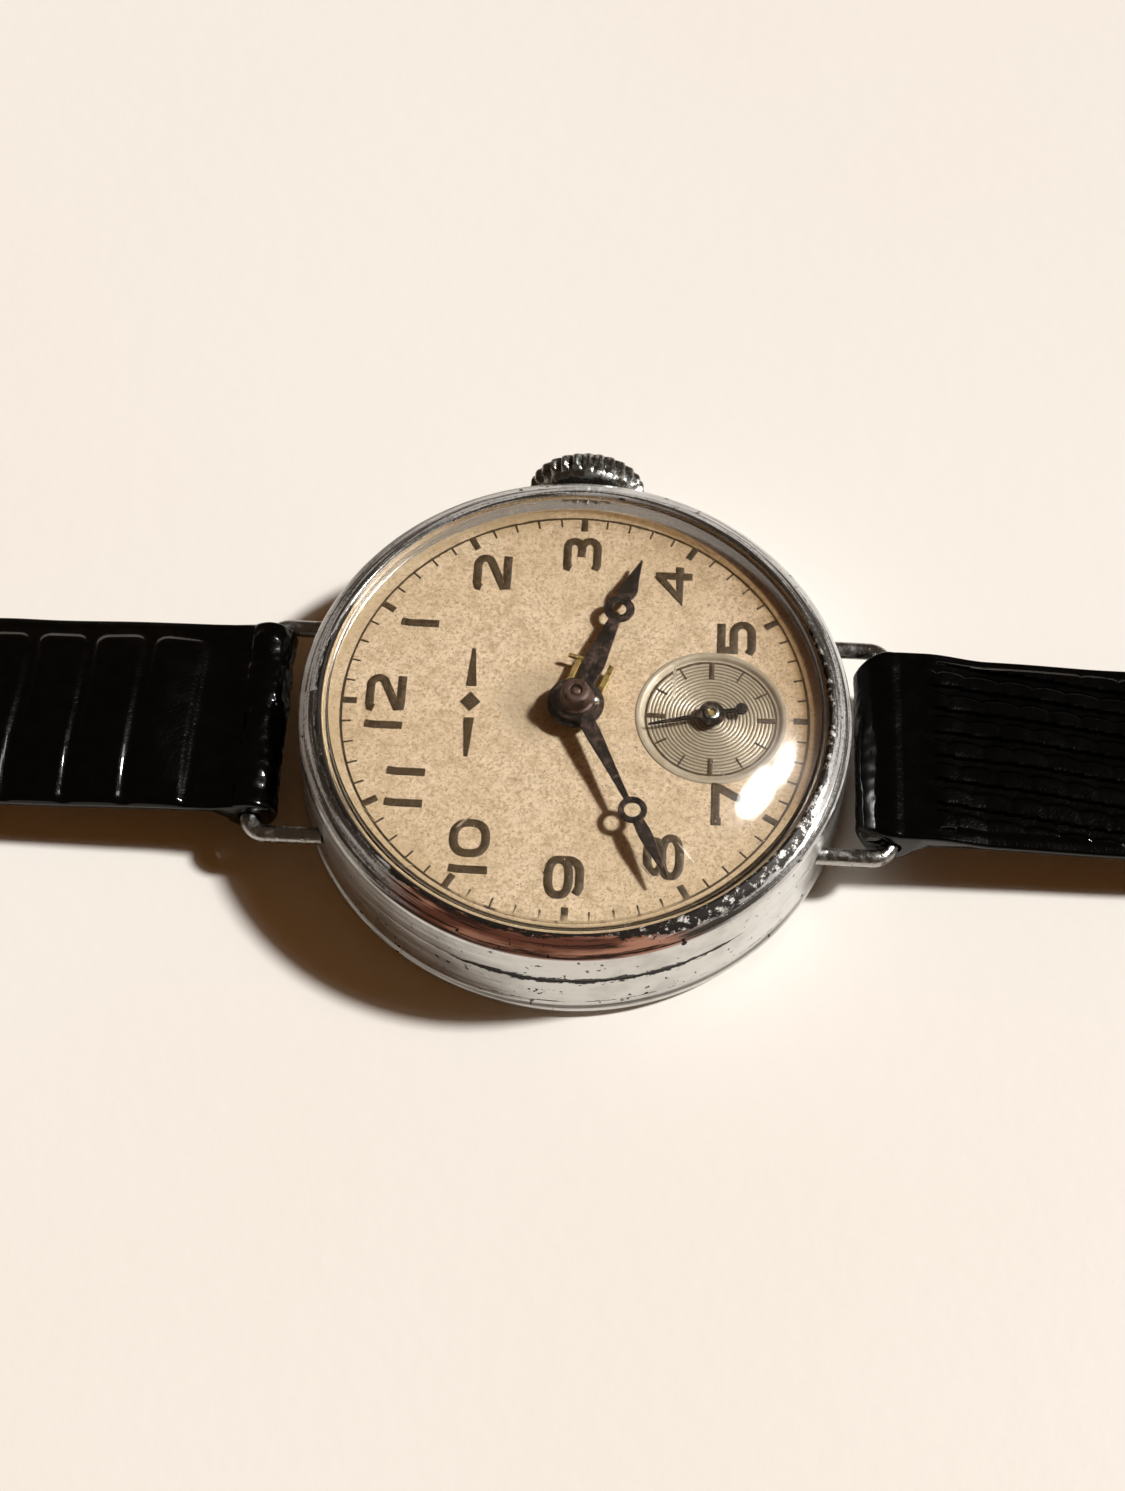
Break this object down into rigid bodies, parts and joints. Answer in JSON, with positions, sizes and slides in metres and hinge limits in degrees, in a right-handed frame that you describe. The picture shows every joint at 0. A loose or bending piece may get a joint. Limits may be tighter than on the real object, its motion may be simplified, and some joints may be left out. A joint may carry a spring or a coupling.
{
  "type": "wristwatch",
  "caption": "Small round hand-wound wristwatch with a seconds sub-dial, wire lugs, knurled crown and a two-piece leather strap with a tongue buckle.",
  "frame": {"origin": "centre of the case back's underside", "axes": "+Z out through the crystal, +X towards 6 o'clock, -X towards 12 o'clock, +Y towards the crown at 3 o'clock"},
  "size_m": [0.2255, 0.0322, 0.0096],
  "materials": {
    "chrome_case": "worn bright chrome plate with pits",
    "steel": "fine satin steel",
    "blued_steel": "blackened steel with rust bloom",
    "brass": "satin",
    "nickel_plate": "frosted nickel",
    "dial_paint": "aged matt lacquer",
    "crystal": "clear, lightly scratched",
    "strap_leather": "glossy embossed",
    "lining_leather": "matt"
  },
  "bodies": {
    "case": {"mid_case": "chrome_case", "bezel": "chrome_case", "case_back": "chrome_case", "crystal": "crystal", "lug_wire_12": "steel", "lug_wire_6": "steel", "crown_tube": "brass", "movement_ring": "brass", "dial": "dial_paint", "main_plate": "nickel_plate", "barrel_bridge": "nickel_plate", "train_bridge": "nickel_plate", "balance_cock": "nickel_plate", "pallet_cock": "nickel_plate", "barrel_bridge_screw_1": "blued_steel", "barrel_bridge_screw_2": "blued_steel", "train_bridge_screw_1": "blued_steel", "train_bridge_screw_2": "blued_steel", "balance_cock_screw": "blued_steel", "pallet_cock_screw": "blued_steel", "crown_wheel_screw": "blued_steel", "click_spring": "steel", "hairspring": "blued_steel"},
    "regulator": {"regulator": "steel"},
    "barrel": {"barrel_drum": "brass", "barrel_cover": "brass", "mainspring": "steel"},
    "barrel_arbor": {"barrel_arbor": "steel", "ratchet_wheel": "steel", "ratchet_screw": "blued_steel"},
    "crown_wheel": {"crown_wheel": "steel"},
    "click": {"click": "steel"},
    "centre_wheel": {"centre_wheel": "brass", "cannon_pinion": "steel", "minute_hand": "blued_steel"},
    "third_wheel": {"third_wheel": "brass"},
    "fourth_wheel": {"fourth_wheel": "brass", "seconds_hand": "blued_steel"},
    "escape_wheel": {"escape_wheel": "steel"},
    "pallet_fork": {"pallet_fork": "steel"},
    "balance": {"balance_wheel": "brass"},
    "minute_wheel": {"minute_wheel": "brass"},
    "hour_wheel": {"hour_wheel": "brass", "hour_hand": "blued_steel"},
    "winding_pinion": {"winding_pinion": "steel"},
    "stem": {"winding_stem": "steel", "crown": "chrome_case"},
    "sliding_pinion": {"sliding_pinion": "steel"},
    "setting_lever": {"setting_lever": "steel"},
    "yoke": {"yoke": "steel"},
    "strap_12": {"strap_12_upper": "strap_leather", "strap_12_lining": "lining_leather", "keeper_fixed": "strap_leather"},
    "strap_6": {"strap_6_upper": "strap_leather", "strap_6_lining": "lining_leather"},
    "keeper_free": {"keeper_free": "strap_leather"},
    "buckle": {"buckle_frame": "chrome_case", "buckle_bar": "steel"},
    "tongue": {"buckle_tongue": "chrome_case"}
  },
  "joints": [
    {"name": "seconds_turn", "type": "hinge", "parent": "case", "child": "fourth_wheel", "pos_m": [0.00735, 0, 0], "axis": [0, 0, -1], "continuous": true},
    {"name": "third_wheel_turn", "type": "hinge", "parent": "case", "child": "third_wheel", "pos_m": [0.00406, 0.00194, 0], "axis": [0, 0, -1], "continuous": true},
    {"name": "minutes_turn", "type": "hinge", "parent": "case", "child": "centre_wheel", "pos_m": [0, 0, 0], "axis": [0, 0, -1], "continuous": true},
    {"name": "barrel_turn", "type": "hinge", "parent": "case", "child": "barrel", "pos_m": [-0.00507, 0.00293, 0], "axis": [0, 0, -1], "continuous": true},
    {"name": "escape_wheel_turn", "type": "hinge", "parent": "case", "child": "escape_wheel", "pos_m": [0.00615, -0.00331, 0], "axis": [0, 0, -1], "continuous": true},
    {"name": "minute_wheel_turn", "type": "hinge", "parent": "case", "child": "minute_wheel", "pos_m": [0.00144, 0.00249, 0], "axis": [0, 0, -1], "continuous": true},
    {"name": "hours_turn", "type": "hinge", "parent": "case", "child": "hour_wheel", "pos_m": [0, 0, 0], "axis": [0, 0, -1], "continuous": true},
    {"name": "pallet_fork_swing", "type": "hinge", "parent": "case", "child": "pallet_fork", "pos_m": [0.00427, -0.0048, 0], "axis": [0, 0, 1], "range_deg": [-5, 5]},
    {"name": "balance_swing", "type": "hinge", "parent": "case", "child": "balance", "pos_m": [0.00215, -0.00647, 0], "axis": [0, 0, 1], "range_deg": [-270, 270], "stiffness_Nm_per_rad": 0.00000004, "deforming": ["hairspring"]},
    {"name": "regulator_shift", "type": "hinge", "parent": "case", "child": "regulator", "pos_m": [0.00215, -0.00647, 0], "axis": [0, 0, 1], "range_deg": [-20, 20]},
    {"name": "crown_turn", "type": "hinge", "parent": "case", "child": "winding_pinion", "pos_m": [0, 0, 0.0039], "axis": [0, 1, 0], "continuous": true},
    {"name": "crown_pull", "type": "slide", "parent": "winding_pinion", "child": "stem", "axis": [0, 1, 0], "range_m": [0, 0.001]},
    {"name": "sliding_pinion_shift", "type": "slide", "parent": "winding_pinion", "child": "sliding_pinion", "axis": [0, 1, 0], "range_m": [-0.0006, 0]},
    {"name": "setting_lever_tilt", "type": "hinge", "parent": "case", "child": "setting_lever", "pos_m": [0.0028, 0.0106, 0], "axis": [0, 0, 1], "range_deg": [-22.5, 0]},
    {"name": "yoke_tilt", "type": "hinge", "parent": "case", "child": "yoke", "pos_m": [0.0029, 0.0076, 0], "axis": [0, 0, 1], "range_deg": [0, 12]},
    {"name": "crown_wheel_turn", "type": "hinge", "parent": "case", "child": "crown_wheel", "pos_m": [0, 0.007, 0], "axis": [0, 0, 1], "continuous": true},
    {"name": "ratchet_turn", "type": "hinge", "parent": "case", "child": "barrel_arbor", "pos_m": [-0.00507, 0.00293, 0], "axis": [0, 0, 1], "continuous": true, "deforming": ["mainspring"]},
    {"name": "click_tilt", "type": "hinge", "parent": "case", "child": "click", "pos_m": [-0.00977, 0.00122, 0], "axis": [0, 0, 1], "range_deg": [0, 15], "stiffness_Nm_per_rad": 0.00001, "deforming": ["click_spring"]},
    {"name": "strap_6_swing", "type": "hinge", "parent": "case", "child": "strap_6", "pos_m": [0.0173, 0, 0.00325], "axis": [0, 1, 0], "range_deg": [-90, 80]},
    {"name": "strap_12_swing", "type": "hinge", "parent": "case", "child": "strap_12", "pos_m": [-0.0173, 0, 0.00325], "axis": [0, -1, 0], "range_deg": [-90, 80]},
    {"name": "keeper_slide", "type": "slide", "parent": "strap_12", "child": "keeper_free", "axis": [1, 0, 0], "range_m": [-0.007, 0.009]},
    {"name": "buckle_swing", "type": "hinge", "parent": "strap_12", "child": "buckle", "pos_m": [-0.0893, 0, 0.00145], "axis": [0, -1, 0], "range_deg": [-60, 75]},
    {"name": "tongue_swing", "type": "hinge", "parent": "buckle", "child": "tongue", "pos_m": [-0.0893, 0, 0.00145], "axis": [0, 1, 0], "range_deg": [0, 110]}
  ],
  "couplings": [
    {"joint": "third_wheel_turn", "follows": "seconds_turn", "ratio": -0.13333},
    {"joint": "minutes_turn", "follows": "seconds_turn", "ratio": 0.016667},
    {"joint": "barrel_turn", "follows": "seconds_turn", "ratio": -0.0027778},
    {"joint": "escape_wheel_turn", "follows": "seconds_turn", "ratio": -10},
    {"joint": "minute_wheel_turn", "follows": "seconds_turn", "ratio": -0.0055556},
    {"joint": "hours_turn", "follows": "seconds_turn", "ratio": 0.0013889},
    {"joint": "crown_wheel_turn", "follows": "crown_turn", "ratio": 0.66667},
    {"joint": "ratchet_turn", "follows": "crown_turn", "ratio": -0.44444},
    {"joint": "sliding_pinion_shift", "follows": "crown_pull", "ratio": -0.6},
    {"joint": "setting_lever_tilt", "follows": "crown_pull", "rad_per_m": -382},
    {"joint": "yoke_tilt", "follows": "crown_pull", "rad_per_m": 203}
  ]
}
